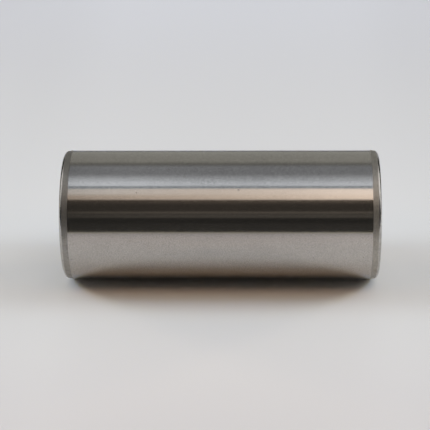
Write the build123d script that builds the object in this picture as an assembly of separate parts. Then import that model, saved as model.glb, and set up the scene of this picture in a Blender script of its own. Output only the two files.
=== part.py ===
from build123d import *
import math
import os

# Crank pin of a built-up crankshaft: one solid bar of hardened steel. Its ends are pressed into the
# bores of the two crank webs, and the rollers of the connecting rod's big end run on its middle.
# All sizes are in millimetres. The pin stands on one end: +Z is its axis, and the origin is the
# centre of the lower end face.

# Driving sizes
pin_diameter = 22.0  # ground surface that the webs grip and the rollers run on
pin_length = 53.3  # over both end faces
lead_length = 1.4  # tapered lead at each end, measured along the axis from the end face
lead_angle = 8.0  # degrees between the lead's slope and the axis
corner_radius = 0.7  # rounding between the lead and the end face
lead_blend_radius = 2.0  # rounding where the ground surface rolls over into the lead

# Worked out from the driving sizes
ground_radius = pin_diameter / 2
lead_drop = lead_length * math.tan(math.radians(lead_angle))
end_radius = ground_radius - lead_drop
lead_slope = math.hypot(lead_length, lead_drop)


def rounding_on_lead(radius, turn):
    """The radius, or the largest that takes up no more than half of the lead's slope.

    A rounding of that radius between two lines that meet with a turn of so many degrees starts
    radius * tan(turn / 2) before their corner.
    """
    largest = lead_slope / 2 / math.tan(math.radians(turn / 2))
    return min(radius, largest)


def half_section():
    """The pin's outline on one side of its axis, with X as the radius and Y as the height."""
    outline = [
        (0, 0),
        (end_radius, 0),
        (ground_radius, lead_length),
        (ground_radius, pin_length - lead_length),
        (end_radius, pin_length),
        (0, pin_length),
    ]
    with BuildSketch(Plane.XZ) as section:
        with BuildLine():
            Polyline(*outline, close=True)
        make_face()
        end_corners = section.vertices().group_by(Axis.X)[1]
        fillet(end_corners, rounding_on_lead(corner_radius, 90 - lead_angle))
        lead_starts = section.vertices().group_by(Axis.X)[-1]
        fillet(lead_starts, rounding_on_lead(lead_blend_radius, lead_angle))
    return section.sketch


def crank_pin():
    """The whole pin, turned from its half section."""
    return revolve(half_section(), axis=Axis.Z)


os.makedirs("parts", exist_ok=True)
export_step(crank_pin(), "parts/crank_pin.step")
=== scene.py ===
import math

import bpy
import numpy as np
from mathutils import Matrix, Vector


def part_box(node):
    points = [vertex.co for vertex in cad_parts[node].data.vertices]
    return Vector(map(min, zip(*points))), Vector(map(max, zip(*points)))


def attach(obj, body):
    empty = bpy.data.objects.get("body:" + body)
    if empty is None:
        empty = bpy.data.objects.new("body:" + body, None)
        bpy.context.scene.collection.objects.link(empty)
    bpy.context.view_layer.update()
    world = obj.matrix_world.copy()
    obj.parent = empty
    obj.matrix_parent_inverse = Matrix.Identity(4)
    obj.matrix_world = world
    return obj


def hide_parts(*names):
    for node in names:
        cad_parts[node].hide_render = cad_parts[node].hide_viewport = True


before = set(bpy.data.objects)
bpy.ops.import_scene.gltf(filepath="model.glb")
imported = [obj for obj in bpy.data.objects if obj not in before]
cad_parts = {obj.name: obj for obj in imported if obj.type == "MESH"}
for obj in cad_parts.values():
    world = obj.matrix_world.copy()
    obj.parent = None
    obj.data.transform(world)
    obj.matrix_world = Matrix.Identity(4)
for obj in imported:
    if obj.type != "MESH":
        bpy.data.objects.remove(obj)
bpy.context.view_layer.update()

# %% [markdown]
# # A crank pin, ground and lapped
#
# This lesson dresses one small machine part: the pin of a built-up crankshaft. On the real thing it
# is a bar of hardened steel about as long as a thumb. Its two ends are pressed into the bores of the
# crank webs, and the rollers of the connecting rod run on its middle.
#
# There is almost no shape to look at, so the whole picture depends on three things: an outline that
# is right to a tenth of a millimetre, steel that mirrors the way ground steel does, and a studio
# whose lamps and dark gaps give that steel something to mirror. The cells go in that order.

MM = 0.001
low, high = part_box("crank_pin")
radius = (high.x - low.x) / 2
length = high.z - low.z
middle = length / 2
print("pin radius %.3f mm, length %.3f mm" % (radius / MM, length / MM))

# %% [markdown]
# ## The outline of the pin
#
# A lathe makes this part, so the model is made as a lathe makes it: one half outline, with the
# radius across and the height up, carried once round the axis. The outline has five runs. The end
# face is flat. A small round corner leads into a slope of eight degrees, the lead, which finds its
# way into the bore when the pin is pressed home. A gentle blend turns the slope into the ground
# surface, and then the same runs come again in the other order.
#
# The sizes are the same as in the part's source, so that the dressed pin and the solid agree.

# %% Sizes that both ends share
LEAD_LENGTH = 1.4 * MM
LEAD_ANGLE = math.radians(8)
CORNER_RADIUS = 0.7 * MM
BLEND_RADIUS = 2.0 * MM

lead_rim = radius - LEAD_LENGTH * math.tan(LEAD_ANGLE)
corner_turn = math.pi / 2 - LEAD_ANGLE
face_radius = lead_rim - CORNER_RADIUS * math.tan(corner_turn / 2)
blend_height = LEAD_LENGTH + BLEND_RADIUS * math.tan(LEAD_ANGLE / 2)
print("flat face to r %.4f mm, ground surface from z %.4f mm" % (face_radius / MM, blend_height / MM))

# %% [markdown]
# Two helpers draw the runs: one for arcs, one for straight lines. Smooth shading blends the
# directions of neighbouring faces, and over a long flat run that makes the face look dished at its
# rim. So each straight run ends a hair's breadth early, with one more ring of points. Those rings
# hold the shading inside the run that it belongs to.

# %% Arcs and straight runs
HOLD = 0.02 * MM

def arc(centre_r, centre_z, bend, start, end, steps):
    """Points on a circle of radius bend: centre + bend * (cos t, sin t), t going evenly from start to end."""
    t = np.linspace(start, end, steps + 1)
    return np.column_stack([centre_r + bend * np.cos(t), centre_z + bend * np.sin(t)])

def run(start, end, steps):
    """Points on a straight run, with a holding ring just after its start and just before its end."""
    start, end = np.array(start), np.array(end)
    hold = HOLD / np.linalg.norm(end - start)
    t = np.concatenate([[hold], np.linspace(0, 1, steps + 1)[1:-1], [1 - hold]])
    return start + t[:, None] * (end - start)

# %% Both ends and the ground surface between them
FACE_STEPS = 12
CORNER_STEPS = 14
LEAD_STEPS = 3
BLEND_STEPS = 6
GROUND_RINGS = 20

def end_outline():
    """One end's half outline: flat face, corner arc, sloping lead, blend arc, start of the ground surface."""
    corner = arc(face_radius, CORNER_RADIUS, CORNER_RADIUS, -math.pi / 2, -LEAD_ANGLE, CORNER_STEPS)
    blended = arc(radius - BLEND_RADIUS, blend_height, BLEND_RADIUS, -LEAD_ANGLE, 0, BLEND_STEPS)
    face = run((0, 0), corner[0], FACE_STEPS)[1:]
    lead = run(corner[-1], blended[0], LEAD_STEPS)
    return np.vstack([face, corner, lead, blended, [[radius, blend_height + HOLD]]])

lower = end_outline()
upper = lower[::-1] * (1, -1) + (0, length)
ground_rows = np.linspace(lower[-1, 1], upper[0, 1], GROUND_RINGS + 2)[1:-1]
ground = np.column_stack([np.full(GROUND_RINGS, radius), ground_rows])
outline = np.vstack([lower, ground, upper])
print("outline of", len(outline), "rings")

# %% [markdown]
# ## Turning the outline round the axis
#
# The surface is a function of two parameters: how far along the outline, and the angle round the
# axis. Numpy works out the whole grid at once. The last column of faces joins back to the first, so
# there is no seam, and each end face closes on a single point in its middle, so there is no hole.

# %% A surface of revolution
AROUND = 480

def turned_faces(rings):
    """Four-sided faces between rings, then a fan from each end ring to its pole, all facing outwards."""
    ring, column = np.meshgrid(np.arange(rings - 1), np.arange(AROUND), indexing="ij")
    after = (column + 1) % AROUND
    corners = [ring * AROUND + column, ring * AROUND + after]
    corners += [(ring + 1) * AROUND + after, (ring + 1) * AROUND + column]
    walls = np.stack(corners, axis=-1).reshape(-1, 4)
    here = np.arange(AROUND)
    beside = (here + 1) % AROUND
    last_ring = (rings - 1) * AROUND
    low_pole, high_pole = rings * AROUND, rings * AROUND + 1
    bottom = np.stack([beside, here, np.full(AROUND, low_pole)], axis=-1)
    top = np.stack([last_ring + here, last_ring + beside, np.full(AROUND, high_pole)], axis=-1)
    return walls.tolist() + bottom.tolist() + top.tolist()

def turned(name, outline, low_z, high_z):
    """Closed surface: ring i, column j lies at (r_i cos a_j, r_i sin a_j, z_i); a_j is 2 pi j / AROUND."""
    angle = 2 * math.pi * np.arange(AROUND) / AROUND
    r, z = outline[:, 0, None], outline[:, 1, None]
    rings = np.stack([r * np.cos(angle), r * np.sin(angle), z + 0 * angle], axis=-1)
    points = np.vstack([rings.reshape(-1, 3), [[0, 0, low_z], [0, 0, high_z]]])
    mesh = bpy.data.meshes.new(name)
    mesh.from_pydata(points.tolist(), [], turned_faces(len(outline)))
    mesh.update()
    mesh.shade_smooth()
    piece = bpy.data.objects.new(name, mesh)
    bpy.context.scene.collection.objects.link(piece)
    return piece

pin = turned("crank_pin_ground", outline, low.z, high.z)
print(len(pin.data.polygons), "faces,", len(pin.data.vertices), "points")

# %% [markdown]
# Three finishes meet on the pin, and the outline says where each one starts: the ground surface
# between the leads, the turned leads with their corners, and the faced ends. Every face is given
# the number of its finish.

# %% Which finish each face takes
GROUND, LEAD, FACE = 0, 1, 2
row_middle = (outline[:-1] + outline[1:]) / 2
height_in = np.minimum(row_middle[:, 1], length - row_middle[:, 1])
row_finish = np.where(row_middle[:, 0] < face_radius, FACE, np.where(height_in < LEAD_LENGTH, LEAD, GROUND))
finish = np.concatenate([np.repeat(row_finish, AROUND), np.full(2 * AROUND, FACE)])
pin.data.polygons.foreach_set("material_index", finish.astype(np.int32))
print("rings of ground surface, lead, face:", [int((row_finish == f).sum()) for f in (GROUND, LEAD, FACE)])

# %% [markdown]
# ## Node helpers
#
# Materials are built from nodes, and most of the typing is the same each time: make a node, set
# some of its sockets, join it to another. A few small helpers do that, so that the cells below can
# read like a recipe.

# %% Helpers that place nodes and do sums
def node(tree, kind, inputs=None, **settings):
    """Adds a node; inputs gives socket name or number to a value or to another node's output."""
    made = tree.nodes.new(kind)
    for name, value in settings.items():
        setattr(made, name, value)
    for name, value in (inputs or {}).items():
        if isinstance(value, bpy.types.NodeSocket):
            tree.links.new(value, made.inputs[name])
        else:
            made.inputs[name].default_value = value
    return made

def maths(tree, operation, a, b=0.0, c=0.0):
    return node(tree, "ShaderNodeMath", {0: a, 1: b, 2: c}, operation=operation).outputs[0]

def weighed(tree, start, *parts):
    """Start plus a sum, where each part is a value and the weight that it is multiplied by."""
    total = start
    for value, weight in parts:
        total = maths(tree, "MULTIPLY_ADD", value, weight, total)
    return total

def opposite(tree, value):
    """1 where value is 0, and 0 where it is 1."""
    return maths(tree, "SUBTRACT", 1, value)

def vector_maths(tree, operation, a, b):
    made = node(tree, "ShaderNodeVectorMath", {0: a, 1: b}, operation=operation)
    return made.outputs["Value" if operation == "DOT_PRODUCT" else "Vector"]

def split(tree, vector):
    return node(tree, "ShaderNodeSeparateXYZ", {0: vector}).outputs

# %% Helpers for edges, noise and colours
def step(tree, value, edge, softness):
    """Rises smoothly from 0 to 1 as value passes edge, over a width of softness."""
    sockets = {"Value": value, "From Min": edge - softness / 2, "From Max": edge + softness / 2}
    return node(tree, "ShaderNodeMapRange", sockets, interpolation_type="SMOOTHSTEP").outputs["Result"]

def window(tree, value, start, end, soft_start, soft_end):
    """1 between start and end, 0 outside, with a soft edge at each."""
    return maths(tree, "SUBTRACT", step(tree, value, start, soft_start), step(tree, value, end, soft_end))

def noise(tree, vector, scale, detail, roughness=0.5):
    """Noise from 0 to 1 with its middle near 0.5; scale is in waves per unit of the vector."""
    sockets = {"Vector": vector, "Scale": scale, "Detail": detail, "Roughness": roughness}
    return node(tree, "ShaderNodeTexNoise", sockets).outputs["Fac"]

def scaled(tree, colour, amount):
    """A colour made lighter or darker by a factor."""
    made = node(tree, "ShaderNodeVectorMath", {0: colour, "Scale": amount}, operation="SCALE")
    return made.outputs["Vector"]

def blend(tree, factor, a, b):
    """Mixes two colours: a where factor is 0, b where it is 1."""
    made = node(tree, "ShaderNodeMix", {0: factor}, data_type="RGBA")
    for socket, value in ((6, a), (7, b)):
        if isinstance(value, bpy.types.NodeSocket):
            tree.links.new(value, made.inputs[socket])
        else:
            made.inputs[socket].default_value = (*value, 1)
    return made.outputs[2]

def new_material(name):
    material = bpy.data.materials.new(name)
    material.use_nodes = True
    material.node_tree.nodes.clear()
    return material, material.node_tree

# %% [markdown]
# A node group is a box of nodes with named inputs and outputs that several materials share. It is
# built once, and each material places it with values of its own.

# %% Helpers that start and place a node group
def new_group(name, inputs, outputs):
    """A group with number inputs of given names and defaults, and number outputs of given names."""
    group = bpy.data.node_groups.new(name, "ShaderNodeTree")
    for socket, value in inputs.items():
        made = group.interface.new_socket(socket, in_out="INPUT", socket_type="NodeSocketFloat")
        made.default_value = value
    for socket in outputs:
        group.interface.new_socket(socket, in_out="OUTPUT", socket_type="NodeSocketFloat")
    return group, group.nodes.new("NodeGroupInput").outputs, group.nodes.new("NodeGroupOutput").inputs

def placed(tree, group, **values):
    """Puts a group into a tree; values gives input names, with underscores for spaces, and numbers."""
    made = node(tree, "ShaderNodeGroup", node_tree=group)
    for name, value in values.items():
        made.inputs[name.replace("_", " ")].default_value = value
    return made.outputs

# %% [markdown]
# ## Where on the pin is this?
#
# Every finish on this part follows the lathe and the grinder, so it is described best in turned
# coordinates: the distance in from the nearer end, the radius, and the height over the lower end.
# This first group works them out from Object coordinates. Those are the mesh's own metres, so the
# marks stay in place when the pin is moved or copied.

# %% Group: turned coordinates
turned_place, given, result = new_group("turned place", {"Length": length}, ["From End", "Radius", "Height"])
position = node(turned_place, "ShaderNodeTexCoord").outputs["Object"]
x, y, z = split(turned_place, position)
squares = maths(turned_place, "MULTIPLY_ADD", x, x, maths(turned_place, "MULTIPLY", y, y))
other_end = maths(turned_place, "SUBTRACT", given["Length"], z)
turned_place.links.new(maths(turned_place, "MINIMUM", z, other_end), result["From End"])
turned_place.links.new(maths(turned_place, "SQRT", squares), result["Radius"])
turned_place.links.new(z, result["Height"])
print(turned_place.name, "has", len(turned_place.nodes), "nodes")

# %% [markdown]
# ## Marks that run round the axis
#
# A grinding wheel, a lapping tool and a lathe tool all leave marks that run round the axis. Along
# such a mark nothing changes, and across it everything does. Stretched noise does just that:
# across the marks it has dozens of waves to the centimetre, round the axis only a few. On the
# curved side the marks are crossed by going along the axis, on an end face by going out along the
# radius, so the group takes a share of each. Broad marks are laid over the fine ones, and where a
# fine mark goes deepest the group says so, because grime stays in it.

# %% Group: marks round the axis
BROAD_SCALE = 0.17
BROAD_WEIGHT = 1.5
DEEP_EDGE = 0.68
DEEP_SOFTNESS = 0.12

sockets = {"Share of Height": 1.0, "Share of Radius": 0.0, "Fineness": 9000.0, "Round": 260.0}
round_marks, given, result = new_group("marks round the axis", sockets, ["Height", "Deep Lines"])
where = placed(round_marks, turned_place, Length=length)
crossing = maths(round_marks, "MULTIPLY", where["Height"], given["Share of Height"])
crossing = maths(round_marks, "MULTIPLY_ADD", where["Radius"], given["Share of Radius"], crossing)
crossing = maths(round_marks, "MULTIPLY", crossing, given["Fineness"])
position = node(round_marks, "ShaderNodeTexCoord").outputs["Object"]
x, y, z = split(round_marks, scaled(round_marks, position, given["Round"]))
stretched = node(round_marks, "ShaderNodeCombineXYZ", {0: x, 1: y, 2: crossing}).outputs[0]
fine = noise(round_marks, stretched, 1.0, detail=2.0, roughness=0.6)
broad = noise(round_marks, stretched, BROAD_SCALE, detail=1.0)
round_marks.links.new(weighed(round_marks, fine, (broad, BROAD_WEIGHT)), result["Height"])
round_marks.links.new(step(round_marks, fine, DEEP_EDGE, DEEP_SOFTNESS), result["Deep Lines"])
print(round_marks.name, "has", len(round_marks.nodes), "nodes")

# %% [markdown]
# ## Mottle, haze and swell
#
# Close to, lapped steel isn't an even mirror. It has a fine grain, a tenth or two of a millimetre
# wide, and the strongest of its specks are a little duller than the rest. Here and there a nick is
# left where the stone tore something out: those are the middles of Voronoi cells, which are several
# millimetres wide, so the nicks stay rare. Oil that was wiped off leaves faint clouds, and they show
# in the even grey of the mirrored table. The last output is a gentle swell in the surface, which
# makes the edges in the mirrored room waver by a hair.

# %% Group: mottle, haze and swell
SPECK_EDGE = 0.58
SPECK_SOFTNESS = 0.3
NICK_CELLS = 220.0
NICK_SIZE = 0.036

sockets = {"Speck Fineness": 5200.0, "Cloud Fineness": 420.0, "Swell Fineness": 2600.0}
looks = ["Grain", "Specks", "Nicks", "Clouds", "Swell"]
mottle, given, result = new_group("mottle haze and swell", sockets, looks)
position = node(mottle, "ShaderNodeTexCoord").outputs["Object"]
grain = noise(mottle, position, given["Speck Fineness"], detail=1.0, roughness=0.6)
mottle.links.new(grain, result["Grain"])
mottle.links.new(step(mottle, grain, SPECK_EDGE, SPECK_SOFTNESS), result["Specks"])
spots = node(mottle, "ShaderNodeTexVoronoi", {"Vector": position, "Scale": NICK_CELLS}).outputs["Distance"]
mottle.links.new(opposite(mottle, step(mottle, spots, NICK_SIZE, NICK_SIZE)), result["Nicks"])
clouds = noise(mottle, position, given["Cloud Fineness"], detail=3.0, roughness=0.55)
mottle.links.new(clouds, result["Clouds"])
mottle.links.new(noise(mottle, position, given["Swell Fineness"], detail=1.0), result["Swell"])
print(mottle.name, "has", len(mottle.nodes), "nodes")

# %% [markdown]
# ## One shader for three finishes
#
# All three finishes are bare steel, so they share one recipe. The swell is a first bump, and the
# marks are a second bump that rides on it. Marks scatter more light across themselves than along
# themselves, and that is what Anisotropic is for: the mirrored picture is drawn out across the
# marks and stays narrow along them, so the long edges in the mirrored room stay crisp. A rotation
# of a quarter of a turn lays the drawn-out way across the marks. The recipe is a function and no
# group, so that each material has a shader of its own: the export can't read one inside a group.

# %% Helper that finishes a material as bare steel
QUARTER_TURN = 0.25

def bare_steel(tree, colour, dullness, film, marks, drawn_out, swell_depth, mark_depth):
    """Metallic shader whose Normal is the marks' bump on top of the swell's; the depths are in metres."""
    swell = node(tree, "ShaderNodeBump", {"Height": film["Swell"], "Strength": 1.0, "Distance": swell_depth})
    bumps = {"Height": marks["Height"], "Strength": 1.0, "Distance": mark_depth, "Normal": swell.outputs[0]}
    normal = node(tree, "ShaderNodeBump", bumps).outputs[0]
    sockets = {"Base Color": colour, "Metallic": 1.0, "Roughness": dullness, "Normal": normal}
    sockets |= {"Anisotropic": drawn_out, "Anisotropic Rotation": QUARTER_TURN}
    shader = node(tree, "ShaderNodeBsdfPrincipled", sockets, distribution="GGX")
    node(tree, "ShaderNodeOutputMaterial", {"Surface": shader.outputs[0]})

# %% [markdown]
# ## The ground surface
#
# This is the bearing surface, so it is nearly a mirror. The steel's own colour is a slightly warm grey, a
# good deal darker than chrome. The grain sits mostly in that colour: as dullness alone it would smear the
# bright strips over the dark ones and make those look sandy. Towards its upper end the steel's colour is a
# shade lighter, so it mirrors a shade more there.
#
# Just before each lead the wheel runs off, and over a tenth of a millimetre the mirror dies away.

# %% Ground steel
GROUND_GREY = (0.46, 0.434, 0.406)
RUN_OFF_GREY = (0.33, 0.312, 0.295)
GROUND_SHADE = 0.39
GROUND_DULLNESS = 0.118
RUN_OFF_DULLNESS = 0.45
RUN_OFF_EDGE = LEAD_LENGTH + 0.05 * MM
RUN_OFF_SOFTNESS = 0.14 * MM
# The steel's colour is a shade lighter towards the upper end
LIGHTER_UPPER_EDGE = 0.76 * length
LIGHTER_UPPER_SOFTNESS = 0.33 * length

ground_steel, tree = new_material("ground_steel")
where = placed(tree, turned_place, Length=length)
marks = placed(tree, round_marks, Share_of_Height=1.0, Share_of_Radius=0.0, Fineness=7000.0, Round=260.0)
film = placed(tree, mottle, Speck_Fineness=8000.0, Cloud_Fineness=420.0, Swell_Fineness=2600.0)
inside = step(tree, where["From End"], RUN_OFF_EDGE, RUN_OFF_SOFTNESS)
lighter_upper_end = step(tree, where["Height"], LIGHTER_UPPER_EDGE, LIGHTER_UPPER_SOFTNESS)
shade = weighed(tree, GROUND_SHADE, (film["Clouds"], 0.12), (film["Grain"], 1.10), (lighter_upper_end, 0.085))
shade = weighed(tree, shade, (film["Nicks"], -0.1), (marks["Deep Lines"], -0.02))
colour = blend(tree, inside, RUN_OFF_GREY, scaled(tree, GROUND_GREY, shade))
dullness = weighed(tree, GROUND_DULLNESS, (film["Specks"], 0.05), (film["Nicks"], 0.2))
run_off_extra = maths(tree, "SUBTRACT", RUN_OFF_DULLNESS, dullness)
dullness = weighed(tree, dullness, (opposite(tree, inside), run_off_extra))
depths = {"swell_depth": 0.0008 * MM, "mark_depth": 0.00004 * MM}
bare_steel(tree, colour, dullness, film, marks, drawn_out=0.6, **depths)
print("ground steel:", len(tree.nodes), "nodes")

# %% [markdown]
# ## The leads and their corners
#
# The leads were turned before hardening and never ground. Hardening left them darker. The lower one is given
# a darker grey than the upper one, and that is painted shade on the darker end of the pin. Their tool marks
# are coarser, so they mirror the studio only as broad shades. The corners were rounded last, with a fine
# stone while the pin turned, so they are smoother than the lead. The pale walls of the room draw a thin light
# line on them, and the corners' lighter grey is painted highlight that makes that line stronger. Small dark
# pits are left where scale came off.

# %% Lead steel
# The lower lead's darker grey is painted shade
SHADED_LOWER_LEAD_GREY = (0.385, 0.365, 0.335)
UPPER_LEAD_GREY = (0.455, 0.425, 0.38)
# The corners' lighter grey is partly painted highlight on top of the mirrored line
CORNER_HIGHLIGHT_GREY = (0.54, 0.52, 0.49)
LEAD_SHADE = 0.75
CORNER_DULLNESS = 0.18
LEAD_EXTRA_DULLNESS = 0.30
CORNER_EDGE = 0.46 * MM
CORNER_SOFTNESS = 0.26 * MM

lead_steel, tree = new_material("lead_steel")
where = placed(tree, turned_place, Length=length)
marks = placed(tree, round_marks, Share_of_Height=1.0, Share_of_Radius=1.0, Fineness=5200.0, Round=380.0)
film = placed(tree, mottle, Speck_Fineness=3600.0, Cloud_Fineness=900.0, Swell_Fineness=1800.0)
past_corner = step(tree, where["From End"], CORNER_EDGE, CORNER_SOFTNESS)
shade = weighed(tree, LEAD_SHADE, (film["Clouds"], 0.5), (film["Specks"], -0.22))
shade = weighed(tree, shade, (marks["Deep Lines"], -0.12))
# Painted shade on the lower lead, painted highlight on the corners
lead_grey_with_painted_shade = blend(tree, step(tree, where["Height"], middle, length / 2), SHADED_LOWER_LEAD_GREY, UPPER_LEAD_GREY)
colour = scaled(tree, blend(tree, past_corner, CORNER_HIGHLIGHT_GREY, lead_grey_with_painted_shade), shade)
dullness = weighed(tree, CORNER_DULLNESS, (past_corner, LEAD_EXTRA_DULLNESS), (film["Specks"], 0.08))
depths = {"swell_depth": 0.004 * MM, "mark_depth": 0.0012 * MM}
bare_steel(tree, colour, dullness, film, marks, drawn_out=0.2, **depths)
print("lead steel:", len(tree.nodes), "nodes")

# %% [markdown]
# ## The end faces
#
# The ends were faced in the lathe and then touched by the grinder. Their marks are rings round the
# middle, so what they mirror is drawn out into fans across the face, as on the back of a steel
# watch. The same group makes the rings, now with its whole share on the radius.

# %% Face steel
FACE_GREY = (0.42, 0.395, 0.375)
FACE_SHADE = 0.88
FACE_DULLNESS = 0.27

face_steel, tree = new_material("face_steel")
marks = placed(tree, round_marks, Share_of_Height=0.0, Share_of_Radius=1.0, Fineness=6000.0, Round=300.0)
film = placed(tree, mottle, Speck_Fineness=4200.0, Cloud_Fineness=500.0, Swell_Fineness=1500.0)
shade = weighed(tree, FACE_SHADE, (film["Clouds"], 0.24), (film["Specks"], -0.06))
shade = weighed(tree, shade, (marks["Deep Lines"], -0.10))
dullness = weighed(tree, FACE_DULLNESS, (film["Specks"], 0.06))
depths = {"swell_depth": 0.002 * MM, "mark_depth": 0.0010 * MM}
bare_steel(tree, scaled(tree, FACE_GREY, shade), dullness, film, marks, drawn_out=0.6, **depths)
print("face steel:", len(tree.nodes), "nodes")

# %% [markdown]
# The finishes go on in the order of their numbers, and the dressed pin takes the place of the plain
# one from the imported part. It rides on the body called root, which is the whole pin.

# %% Finishes on, and the plain pin replaced
for material in (ground_steel, lead_steel, face_steel):
    pin.data.materials.append(material)
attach(pin, "root")
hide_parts("crank_pin")
print([material.name for material in pin.data.materials])

# %% [markdown]
# ## Directions of the studio
#
# The pin stands on its end in the shared frame, but in the photograph it lies on its side on a pale
# table. Nothing is turned for that. The studio is turned instead: its floor is an upright plane
# that touches the pin along one line, and the camera lies on its side too. Directions round the pin
# are given as an angle, 0 for level towards the front of the table and 90 for the photograph's up.
# The pin's lower end is at the left of the picture and its upper end at the right.

# %% Directions
STUDIO_TURN = math.radians(45)
FLOOR_UP = Vector((math.cos(-STUDIO_TURN), math.sin(-STUDIO_TURN), 0))
FLOOR_FRONT = Vector((math.cos(STUDIO_TURN), math.sin(STUDIO_TURN), 0))
ALONG = Vector((0, 0, 1))

def around(degrees):
    """Direction at an angle round the pin, from the table's front towards the photograph's up."""
    t = math.radians(degrees)
    return FLOOR_FRONT * math.cos(t) + FLOOR_UP * math.sin(t)

print("the photograph's up in the shared frame:", tuple(round(v, 3) for v in FLOOR_UP))

# %% [markdown]
# ## The camera
#
# The photographer stood well back with a long lens and looked down by 27 degrees. How far back can
# be read from the ends: the lines of the two rims bulge by different amounts, the left one by six
# pixels and the right one by four the other way, so the camera stood nearer to the right end, about
# twenty-five pin radii away. The focal length is written in pixels of a picture 430 wide, which is
# how it was measured, and turned into millimetres for Blender's 36 mm sensor.
#
# The camera faces a point of the axis squarely, and then it turns a little to its left, until the
# pin is in the middle of the picture. How far it turns is given in pixels too.

# %% Camera
CAMERA_RISE = 27
CAMERA_DISTANCE = 25 * radius
FACED_POINT = Vector((0, 0, high.z - 1.81 * radius))
FOCAL_PIXELS = 1607
PHOTO_SIDE = 430
TURN_LEFT_PIXELS = 45.8
TURN_DOWN_PIXELS = 0.6

camera_data = bpy.data.cameras.new("camera")
camera_data.sensor_width = 36
camera_data.lens = FOCAL_PIXELS / PHOTO_SIDE * camera_data.sensor_width
camera_data.clip_start = 20 * MM
camera_data.clip_end = 10
camera = bpy.data.objects.new("camera", camera_data)
bpy.context.scene.collection.objects.link(camera)
bpy.context.scene.camera = camera

picture_up = around(CAMERA_RISE + 90)
place = FACED_POINT + around(CAMERA_RISE) * CAMERA_DISTANCE
pixel = CAMERA_DISTANCE / FOCAL_PIXELS
target = FACED_POINT - ALONG * TURN_LEFT_PIXELS * pixel - picture_up * TURN_DOWN_PIXELS * pixel
forward = (target - place).normalized()
right = forward.cross(picture_up).normalized()
camera.matrix_world = Matrix((right, right.cross(forward), -forward)).transposed().to_4x4()
camera.location = place
print("lens %.1f mm, %.0f mm from the pin" % (camera_data.lens, CAMERA_DISTANCE / MM))

# %% [markdown]
# ## The table
#
# One pale plane carries the pin and gives it its shadow. The steel mirrors this plane too, down to its front
# edge, beyond which the room is dark, so the edge's distance decides where the mirrored white stops on the
# steel. The table's colour carries painted light and shade by position: it is a little darker and bluer
# towards the back, warmer far to the front, and a touch darker far to the sides.
#
# The plane is upright in the shared frame, so some cameras look at it from behind. Its back lets
# camera rays through and nothing else: the pin can be seen from there, and no light leaks in.

# %% The table's plane
FRONT_EDGE = 16.2 * radius
BACK_EDGE = 45 * radius
SIDE_EDGE = 30 * radius

def plane(name, centre, half_a, half_b, normal):
    """Rectangle: centre plus s half_a plus t half_b with s and t from -1 to 1, facing along normal."""
    corners = [centre + s * half_a + t * half_b for s, t in ((-1, -1), (1, -1), (1, 1), (-1, 1))]
    if half_a.cross(half_b).dot(normal) < 0:
        corners.reverse()
    mesh = bpy.data.meshes.new(name)
    mesh.from_pydata(corners, [], [(0, 1, 2, 3)])
    made = bpy.data.objects.new(name, mesh)
    bpy.context.scene.collection.objects.link(made)
    return made

centre = Vector((0, 0, middle)) - FLOOR_UP * radius + FLOOR_FRONT * (FRONT_EDGE - BACK_EDGE) / 2
floor = plane("floor", centre, FLOOR_FRONT * (FRONT_EDGE + BACK_EDGE) / 2, ALONG * SIDE_EDGE, FLOOR_UP)
print("table reaches %.0f mm to the front, %.0f mm to the back" % (FRONT_EDGE / MM, BACK_EDGE / MM))

# %% The table's colour
# Painted light and shade on the table: darker and bluer at the back, warmer far to the front
SHADED_TABLE_BACK = (0.613, 0.627, 0.66)
# Where the colour changes, in radii to the front of the pin: middle of the change, its width, new colour
PAINTED_TABLE_LIGHT = (
    (-9.5, 9, (0.655, 0.655, 0.655)),
    (2.5, 3, (0.66, 0.655, 0.66)),
    (12, 7, (0.66, 0.61, 0.455)),
)
# Painted shade: the table's colour is a touch darker far to the sides
SIDE_SHADE_EDGE = 3.1 * radius
SIDE_SHADE_SOFTNESS = 1.6 * radius
SIDE_SHADE_LOSS = 0.035
NEAR_SHADE = 1.007

pale_table, tree = new_material("pale_table")
position = node(tree, "ShaderNodeTexCoord").outputs["Object"]
forwards = vector_maths(tree, "DOT_PRODUCT", position, FLOOR_FRONT)
colour = SHADED_TABLE_BACK
for change, width, new_colour in PAINTED_TABLE_LIGHT:
    colour = blend(tree, step(tree, forwards, change * radius, width * radius), colour, new_colour)
sidewards = maths(tree, "SUBTRACT", vector_maths(tree, "DOT_PRODUCT", position, ALONG), middle)
painted_side_shade = step(tree, maths(tree, "ABSOLUTE", sidewards), SIDE_SHADE_EDGE, SIDE_SHADE_SOFTNESS)
colour = scaled(tree, colour, weighed(tree, NEAR_SHADE, (painted_side_shade, -SIDE_SHADE_LOSS)))
print("the table's colour changes", len(PAINTED_TABLE_LIGHT), "times from back to front")

# %% The table's shader, open from behind
sockets = {"Base Color": colour, "Roughness": 0.9, "Specular IOR Level": 0.0}
shader = node(tree, "ShaderNodeBsdfPrincipled", sockets)
clear = node(tree, "ShaderNodeBsdfTransparent")
camera_ray = node(tree, "ShaderNodeLightPath").outputs["Is Camera Ray"]
from_behind = node(tree, "ShaderNodeNewGeometry").outputs["Backfacing"]
open_back = maths(tree, "MULTIPLY", camera_ray, from_behind)
mixed = node(tree, "ShaderNodeMixShader", {0: open_back, 1: shader.outputs[0], 2: clear.outputs[0]})
node(tree, "ShaderNodeOutputMaterial", {"Surface": mixed.outputs[0]})
floor.data.materials.append(pale_table)
print("pale table:", len(tree.nodes), "nodes")

# %% [markdown]
# ## The studio in the mirror
#
# A mirror has no look of its own: what the eye takes for polished steel is the room, bent round the
# pin. So the room is painted first, on the world, as strips that run along the pin. Each strip is
# told by the angles round the pin between which it lies, and each edge has its own softness. From
# the top of the steel downwards the picture shows the back wall, the back of a softbox, its lit
# edge, a gap, a warm strip, the brown dark of the room with two thin lines of light, and the table.
#
# The world's Generated coordinates are the direction that a ray flies in. Two dot products and an
# arctangent turn it into the angle round the pin, and a third gives how far it points along it.

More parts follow.
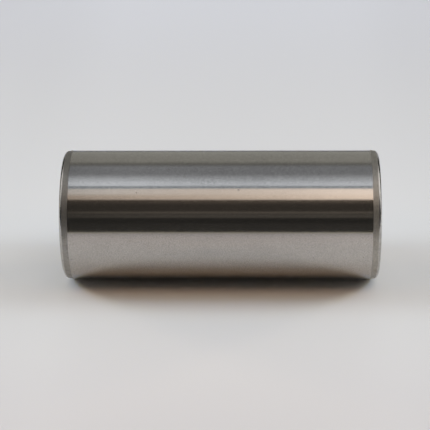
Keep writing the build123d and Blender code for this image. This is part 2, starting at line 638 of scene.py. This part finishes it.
# %% World and its directions
world = bpy.data.worlds.new("studio")
bpy.context.scene.world = world
world.use_nodes = True
tree = world.node_tree
tree.nodes.clear()
direction = node(tree, "ShaderNodeTexCoord").outputs["Generated"]
front = vector_maths(tree, "DOT_PRODUCT", direction, FLOOR_FRONT)
upward = vector_maths(tree, "DOT_PRODUCT", direction, FLOOR_UP)
along = vector_maths(tree, "DOT_PRODUCT", direction, ALONG)
angle = maths(tree, "DEGREES", maths(tree, "ARCTAN2", upward, front))
sideways = maths(tree, "ABSOLUTE", along)
print(len(tree.nodes), "nodes give the direction")

# %% [markdown]
# The room isn't the same at both ends, so each strip has a factor for the left and one for the
# right. They don't meet at 0, which is square to the pin. The camera stands nearer to the right
# end, so even the middle of the pin mirrors a direction that leans a little to the left.

# %% How a strip changes towards the left and the right
LEFT_EDGE = -0.08
LEFT_SOFTNESS = 0.1
RIGHT_EDGE = 0.015
RIGHT_SOFTNESS = 0.12
left_share = opposite(tree, step(tree, along, LEFT_EDGE, LEFT_SOFTNESS))
right_share = step(tree, along, RIGHT_EDGE, RIGHT_SOFTNESS)

def leaning(at_left, at_right):
    """A factor that is 1 in the middle of the pin's mirror and at_left or at_right towards its ends."""
    return weighed(tree, 1, (left_share, at_left - 1), (right_share, at_right - 1))

def with_more(light, mask, colour, at_left, at_right):
    """The light so far, plus a colour where its mask is 1."""
    mask = maths(tree, "MULTIPLY", mask, leaning(at_left, at_right))
    return vector_maths(tree, "ADD", light, scaled(tree, colour, mask))

# %% Strips along the pin
STRIPS_END = 0.135
STRIPS_END_SOFTNESS = 0.05
# Name, angles from and to, softness of each edge, colour, factor at the left and at the right
STRIPS = (
    ("far edge of the room's floor", -8, 11, 2, 6, (0.018, 0.017, 0.016), 0.7, 1),
    ("thin line", 20.8, 27.3, 1.5, 1.5, (0.080, 0.072, 0.062), 0.7, 0.9),
    ("thin line above it", 28.2, 32, 1.2, 1.2, (0.124, 0.107, 0.089), 0.8, 0.9),
    ("dark brown", 32, 50, 1, 4, (0.031, 0.024, 0.018), 0.75, 0.85),
    ("foot of the warm strip", 47, 53, 7, 1, (0.07, 0.056, 0.043), 0.55, 1),
    ("warm strip", 52.8, 73.2, 2.2, 1.6, (0.92, 0.785, 0.67), 0.83, 1.51),
    ("upper half of the warm strip", 62, 73.2, 8, 1.6, (0.08, 0.104, 0.125), 5.0, 1.45),
    ("gap", 73, 77, 1, 1, (0.40, 0.46, 0.525), 1.42, 1.07),
    ("softbox", 77.6, 94.2, 2.5, 20, (0.62, 0.675, 0.745), 1.96, 1.06),
    ("lit edge of the softbox", 78, 86, 2.5, 8, (0.165, 0.182, 0.205), 1.2, 1.4),
    ("back of the softbox", 92, 124, 18, 12, (0.31, 0.33, 0.36), 1.33, 0.9),
    ("back wall", 128, 200, 22, 10, (0.38, 0.385, 0.36), 1, 0.94),
)

within_strips = opposite(tree, step(tree, sideways, STRIPS_END, STRIPS_END_SOFTNESS))
light = (0, 0, 0)
for name, start, end, soft_start, soft_end, colour, at_left, at_right in STRIPS:
    mask = maths(tree, "MULTIPLY", window(tree, angle, start, end, soft_start, soft_end), within_strips)
    light = with_more(light, mask, colour, at_left, at_right)
    print("%-30s from %5.1f to %5.1f degrees" % (name, start, end))

# %% [markdown]
# Past the ends of the strips the room is plainer: dim in front, pale behind, with pale walls at both
# sides. The leads, the rounded corners and the end faces of the pin mirror these parts. Each is
# told by its angles round the pin and by how far sideways it starts and stops, where 0 is square to
# the pin and 1 is straight along it.

# %% The rest of the room
# Name, angles from and to, softness of both, sideways from and to, softness of both, colour,
# factor at the left and at the right
ROOM = (
    ("dark room in front", -30, 50, 3, -1, 1.2, 0.05, (0.0335, 0.033, 0.0305), 1, 0.8),
    ("front past the ends", -30, 50, 6, 0.24, 0.6, 0.06, (0.1, 0.09, 0.078), 0, 1.7),
    ("past the warm strip", 54, 72, 4, 0.135, 0.34, 0.05, (1.0, 0.84, 0.72), 0.15, 2.0),
    ("farther past the warm strip", 54, 72, 4, 0.34, 0.45, 0.05, (1.0, 0.84, 0.72), 1, 1.8),
    ("past the softbox", 77, 108, 4, 0.135, 0.34, 0.05, (0.62, 0.64, 0.665), 0.15, 0.95),
    ("farther past the softbox", 77, 108, 4, 0.34, 0.5, 0.05, (0.62, 0.64, 0.665), 1, 0.95),
    ("past the back wall", 127, 200, 20, 0.135, 0.45, 0.05, (0.37, 0.37, 0.35), 0.8, 1.15),
    ("pale walls at the sides", 70, 140, 16, 0.5, 1.2, 0.06, (1.1, 1.1, 1.1), 0.85, 1.1),
)

for name, start, end, softness, nearest, farthest, soft_ends, colour, at_left, at_right in ROOM:
    mask = window(tree, angle, start, end, softness, softness)
    mask = maths(tree, "MULTIPLY", mask, window(tree, sideways, nearest, farthest, soft_ends, soft_ends))
    light = with_more(light, mask, colour, at_left, at_right)
    print("%-30s sideways %5.2f to %.2f" % (name, nearest, farthest))

# %% [markdown]
# The photograph is filled by the table, but from other places the camera looks past it. There the
# striped room would stand behind the pin like a curtain. So a ray that comes from the camera itself
# meets one plain pale tone, and every other ray, such as one that the steel mirrors, meets the room.

# %% A plain backdrop for the camera
BACKDROP = (0.625, 0.635, 0.655)
camera_ray = node(tree, "ShaderNodeLightPath").outputs["Is Camera Ray"]
seen = blend(tree, camera_ray, light, BACKDROP)
background = node(tree, "ShaderNodeBackground", {"Color": seen, "Strength": 1.0})
node(tree, "ShaderNodeOutputWorld", {"Surface": background.outputs[0]})
print(len(tree.nodes), "nodes in the world")

# %% [markdown]
# ## The lamps that light the table
#
# The painted room lights the table too, but it gives less than half of the light, and from so many
# sides that there is hardly a shadow. So real lamps do the rest: softboxes to the left and right, a
# few hand's breadths away, the warm ones more to the front. Their places can be read from the
# shadow. It is deep and short, because they stand high. It ends well inside both ends of the pin,
# because each softbox shines past its own end. A faint band of shade runs on beyond each end,
# where only the far softbox is cut off.
#
# In steel so bright a lamp would show as a white blot on the rounded corners. The photographer has
# none there, so these lamps are hidden from mirrors, and from the camera. The pin then mirrors the
# painted room, and the table takes its shadow from the lamps.
#
# Each lamp is told by the share of the table's light that it gives, as red, green and blue. A lamp
# of W watts that faces a table from a distance d lights it by W, times the cosine of its slant, over
# pi d squared. White paper is just white under a light of pi, so a share of 1 needs pi squared times
# d squared watts, over that cosine.

# %% Softboxes
# Name, angle round the pin, distance, distance towards the ends, side, share of the table's light;
# lengths are in pin radii
SOFTBOXES = (
    ("overhead softbox", 76, 6.5, 4.5, 3, (0.095, 0.12, 0.11)),
    ("warm softbox in front", 60, 9, 4, 3, (0.115, 0.06, 0.025)),
    ("side softbox", 91, 10, 14, 4, (0.19, 0.215, 0.225)),
    ("side softbox, outer part", 88, 13, 18, 4, (0.01, 0.005, 0.045)),
    ("far side lamp", 100, 13, 22, 4, (0.055, 0.06, 0.015)),
    ("far side lamp, higher", 105, 18, 22, 5, (0.025, 0.05, 0.11)),
    ("lamp in the back corner", 150, 13, 22, 4, (0.09, 0.07, 0.05)),
    ("lamp over the back of the table", 160, 17, 4, 4, (0.035, 0.035, 0.035)),
)
table_middle = Vector((0, 0, middle)) - FLOOR_UP * radius

def softbox(name, place, side, share):
    """Square area lamp facing the pin; share is the part of the table's light that it gives at the pin."""
    towards = table_middle + FLOOR_UP * radius / 2 - place
    distance = (table_middle - place).length
    slant = (place - table_middle).normalized().dot(FLOOR_UP)
    data = bpy.data.lights.new(name, "AREA")
    data.size = side
    data.energy = math.pi ** 2 * distance ** 2 / slant * max(share)
    data.color = [part / max(share) for part in share]
    lamp = bpy.data.objects.new(name, data)
    bpy.context.scene.collection.objects.link(lamp)
    lamp.location = place
    lamp.rotation_euler = towards.to_track_quat("-Z", "Y").to_euler()
    lamp.visible_camera = False
    lamp.visible_glossy = False
    return lamp

# %% Every softbox at the left and at the right
LEFT_PART = 0.51
RIGHT_PART = 0.49
for name, degrees, distance, towards_end, side, share in SOFTBOXES:
    for sign, part in ((-1, LEFT_PART), (1, RIGHT_PART)):
        place = table_middle + (around(degrees) * distance + ALONG * sign * towards_end) * radius
        lamp = softbox("%s %+d" % (name, sign), place, side * radius, [channel * part for channel in share])
        print("%-34s %.3f W" % (lamp.name, lamp.data.energy))

# %% [markdown]
# ## Last things
#
# Standard view transform shows colours as they are written. The dressed part and the imported one should be
# the same size to a hundredth of a millimetre, because nothing here stands proud of the solid.

# %% View transform
bpy.context.scene.view_settings.view_transform = "Standard"
